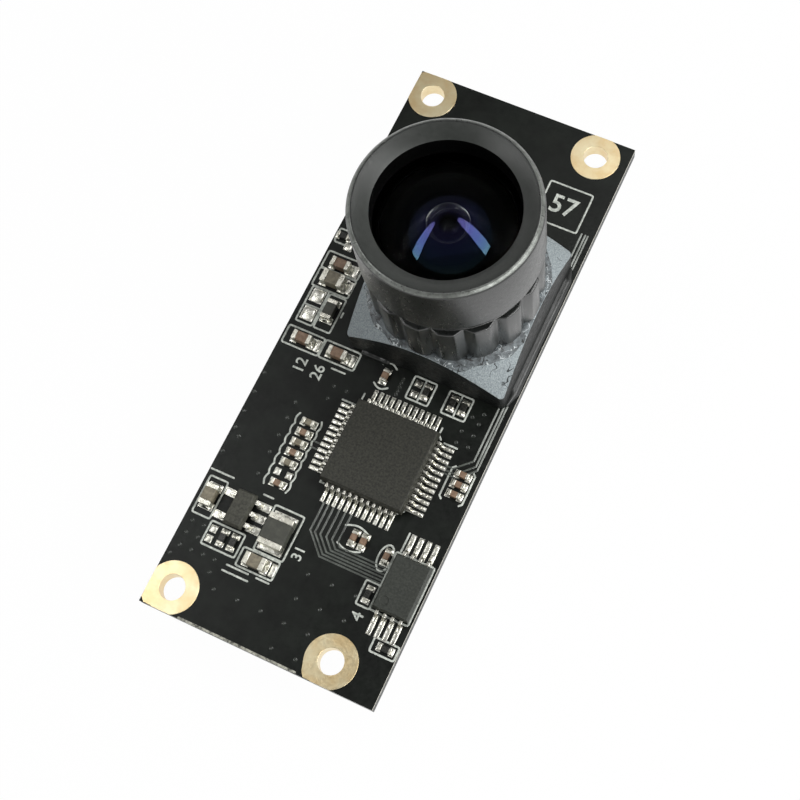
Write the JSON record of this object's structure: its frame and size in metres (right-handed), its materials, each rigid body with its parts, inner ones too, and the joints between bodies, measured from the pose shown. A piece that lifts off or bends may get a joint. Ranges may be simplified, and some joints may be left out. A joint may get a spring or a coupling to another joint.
{
  "type": "camera module",
  "caption": "Narrow circuit board with a fluted wide-angle lens in a square holder, a square controller chip, and a cable connector underneath.",
  "frame": {"origin": "centre of the circuit board's underside", "axes": "+Z out of the board's upper face along the lens, +Y along the board towards its lens end, +X across the board towards the side that the lens stands nearer to"},
  "size_m": [0.0196, 0.0494, 0.0224],
  "materials": {
    "solder_mask": "semi-gloss black solder mask on glass epoxy",
    "gold_plating": "satin immersion gold",
    "tinned_copper": "solder-coated copper",
    "tinned_leads": "matt tin plating",
    "holder_plastic": "fine moulded matt plastic",
    "black_glue": "glossy black glue",
    "thread_adhesive": "rough grey adhesive",
    "anodised_barrel": "matt black anodised",
    "lens_glass": "polished, coated",
    "filter_glass": "polished, coated",
    "cover_glass": "polished",
    "package_ceramic": "fired ceramic",
    "silicon": "polished silicon",
    "package_epoxy": "matt moulded epoxy",
    "ferrite": "dark sintered ferrite",
    "brown_ceramic": "fired ceramic",
    "beige_ceramic": "fired ceramic",
    "resistor_ceramic": "glazed black film",
    "connector_plastic": "moulded ivory plastic",
    "crystal_metal": "satin metal lid"
  },
  "bodies": {
    "root": {"circuit_board": "solder_mask", "mounting_hole_platings": "gold_plating", "solder_pads": "tinned_copper", "bare_solder_pads": "tinned_copper", "lens_holder": "holder_plastic", "holder_glue_beads": "black_glue", "lens_adhesive_ring": "thread_adhesive", "lens_barrel": "anodised_barrel", "front_retaining_ring": "anodised_barrel", "front_lens": "lens_glass", "front_spacer_ring": "anodised_barrel", "second_lens": "lens_glass", "aperture_stop": "anodised_barrel", "third_lens": "lens_glass", "rear_spacer_ring": "anodised_barrel", "rear_lens": "lens_glass", "rear_retaining_ring": "anodised_barrel", "infrared_filter": "filter_glass", "image_sensor_package": "package_ceramic", "image_sensor_die": "silicon", "sensor_cover_glass": "cover_glass", "controller_body": "package_epoxy", "controller_leads": "tinned_leads", "memory_chip_body": "package_epoxy", "memory_chip_leads": "tinned_leads", "regulator_body": "package_epoxy", "regulator_leads": "tinned_leads", "inductor_core": "ferrite", "inductor_terminals": "tinned_leads", "brown_capacitor_bodies": "brown_ceramic", "beige_capacitor_bodies": "beige_ceramic", "capacitor_end_caps": "tinned_leads", "resistor_bodies": "resistor_ceramic", "resistor_end_caps": "tinned_leads", "ferrite_bead_body": "ferrite", "ferrite_bead_end_caps": "tinned_leads", "connector_housing": "connector_plastic", "connector_contacts": "tinned_leads", "connector_anchor_tabs": "tinned_leads", "crystal_base": "package_ceramic", "crystal_lid": "crystal_metal", "underside_capacitor_bodies": "brown_ceramic", "underside_capacitor_end_caps": "tinned_leads", "underside_solder_pads": "tinned_copper"}
  },
  "joints": []
}
